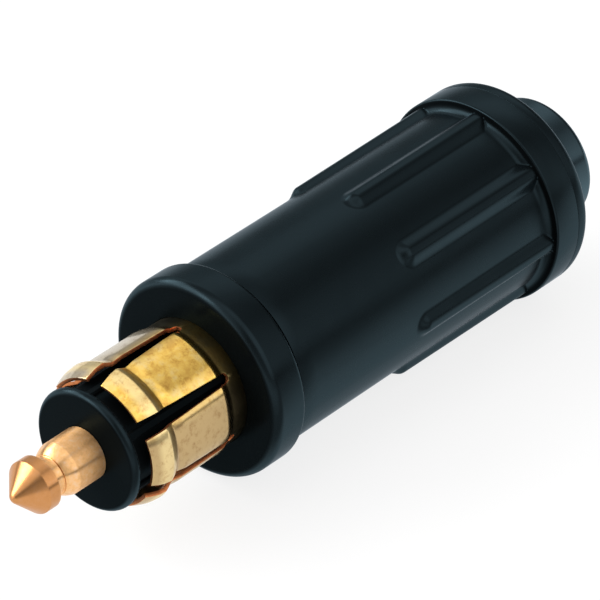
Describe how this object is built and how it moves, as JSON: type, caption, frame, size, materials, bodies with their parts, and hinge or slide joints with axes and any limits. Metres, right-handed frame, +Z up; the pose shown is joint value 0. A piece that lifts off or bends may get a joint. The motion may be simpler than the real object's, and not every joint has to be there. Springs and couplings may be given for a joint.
{
  "type": "power plug",
  "caption": "Rewireable round power plug with a sprung contact sleeve, a grooved centre pin, a ribbed grip and a screw terminal carrier inside.",
  "frame": {"origin": "on the table under the middle of the plug, which lies on its collar and end cap", "axes": "+Z up; -X along the plug's axis towards the pin's tip, +X towards the cord's end; the terminals lie side by side along Y in the lower half of the grip"},
  "size_m": [0.0684, 0.0198, 0.0199],
  "materials": {
    "black_plastic": "satin",
    "black_rubber": "smooth",
    "sleeve_brass": "polished",
    "pin_copper": "turned",
    "link_brass": "plain",
    "zinc_steel": "zinc plated",
    "carrier_plastic": "matt"
  },
  "bodies": {
    "root": {"centre_pin": "pin_copper", "nose_insulator": "black_plastic", "contact_sleeve": "sleeve_brass", "front_housing": "black_plastic", "housing_seal": "black_rubber", "grip_sleeve": "black_plastic", "end_cap": "black_plastic", "cable_grommet": "black_rubber", "thrust_washer": "zinc_steel", "terminal_carrier": "carrier_plastic", "pin_link": "link_brass", "spring_washer": "zinc_steel", "pin_nut": "link_brass", "earth_link": "link_brass", "pin_terminal": "link_brass", "earth_terminal": "link_brass", "terminal_screws": "zinc_steel", "clamp_saddle": "carrier_plastic", "clamp_screws": "zinc_steel"}
  },
  "joints": []
}
